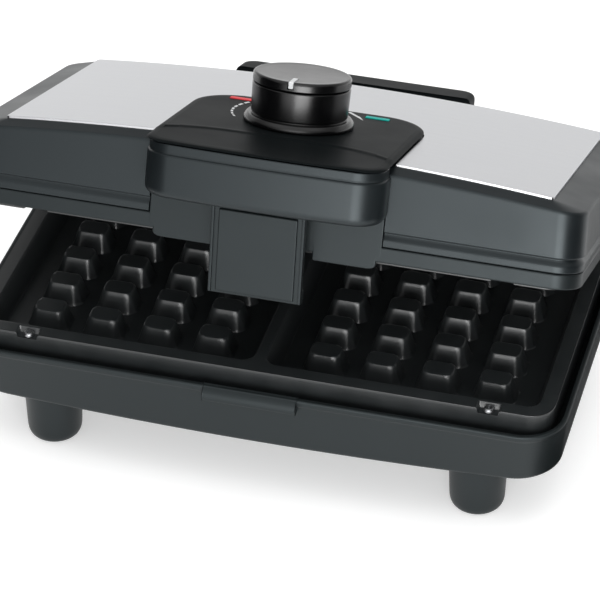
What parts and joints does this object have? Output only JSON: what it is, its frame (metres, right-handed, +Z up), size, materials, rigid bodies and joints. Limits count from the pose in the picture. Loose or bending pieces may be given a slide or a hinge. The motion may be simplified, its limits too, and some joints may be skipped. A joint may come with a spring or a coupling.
{
  "type": "waffle iron",
  "caption": "Countertop waffle iron with two wells between hinged plates, a raised console with a heat knob and lenses, a front latch and tapered feet.",
  "frame": {"origin": "centre of the open product's box in plan, on the table plane under the foot pads", "axes": "+X to the user's right, +Y to the hinge at the back, +Z up"},
  "size_m": [0.274, 0.1965, 0.1732],
  "materials": {
    "black_plastic": "fine satin moulded black",
    "grey_plastic": "satin moulded graphite black",
    "satin_plastic": "smooth satin black",
    "rubber": "matt black",
    "board": "laminate board",
    "steel": "plated steel",
    "heater_sheath": "sheathed tube",
    "bright_tray": "bright sheet",
    "white_mark": "white insert",
    "red_lamp": "clear red",
    "green_lamp": "clear green",
    "red_lens": "translucent red",
    "green_lens": "translucent green",
    "coated_aluminium": "black non-stick coating",
    "brushed_steel": "fine brushed",
    "ceramic": "steatite"
  },
  "bodies": {
    "base": {"base_housing": "black_plastic", "cable_gland": "rubber", "foot_front_left": "black_plastic", "foot_front_right": "black_plastic", "foot_pad_front_left": "rubber", "foot_pad_front_right": "rubber", "foot_pad_rear_left": "rubber", "foot_pad_rear_right": "rubber", "foot_rear_left": "black_plastic", "foot_rear_right": "black_plastic", "hinge_pin_left": "steel", "hinge_pin_right": "steel", "lower_heater": "heater_sheath", "lower_heater_clamp": "steel", "lower_plate": "coated_aluminium", "lower_plate_screw_front_left": "steel", "lower_plate_screw_front_right": "steel", "lower_plate_screw_rear_left": "steel", "lower_plate_screw_rear_right": "steel", "lower_reflector": "bright_tray", "terminal_block": "ceramic"},
    "lid": {"console_deck": "satin_plastic", "console_grip": "grey_plastic", "control_board": "board", "hinge_bar": "black_plastic", "lamp_green": "green_lamp", "lamp_red": "red_lamp", "latch_pin": "steel", "latch_spring": "steel", "lens_green": "green_lens", "lens_red": "red_lens", "lid_frame": "black_plastic", "lid_shell": "grey_plastic", "steel_cover": "brushed_steel", "thermal_fuse": "ceramic", "thermostat": "ceramic", "upper_heater": "heater_sheath", "upper_heater_clamp": "steel", "upper_plate": "coated_aluminium", "upper_plate_screw_front_left": "steel", "upper_plate_screw_front_right": "steel", "upper_plate_screw_rear_left": "steel", "upper_plate_screw_rear_right": "steel", "upper_reflector": "bright_tray"},
    "knob": {"knob": "black_plastic", "knob_cap": "satin_plastic", "knob_pointer": "white_mark", "thermostat_shaft": "steel"},
    "latch": {"latch": "black_plastic"}
  },
  "joints": [
    {"name": "lid_hinge", "type": "hinge", "parent": "base", "child": "lid", "pos_m": [0, 0.066, 0.034], "axis": [-1, 0, 0], "range_deg": [-20.5, 74.5]},
    {"name": "knob_turn", "type": "hinge", "parent": "lid", "child": "knob", "pos_m": [0, -0.01431, 0.14474], "axis": [0, -0.3502, -0.9367], "range_deg": [0, 285]},
    {"name": "latch_swing", "type": "hinge", "parent": "lid", "child": "latch", "pos_m": [0, -0.07269, 0.14564], "axis": [-1, 0, 0], "range_deg": [0, 20], "stiffness_Nm_per_rad": 0.15, "springref_deg": -8.59}
  ]
}
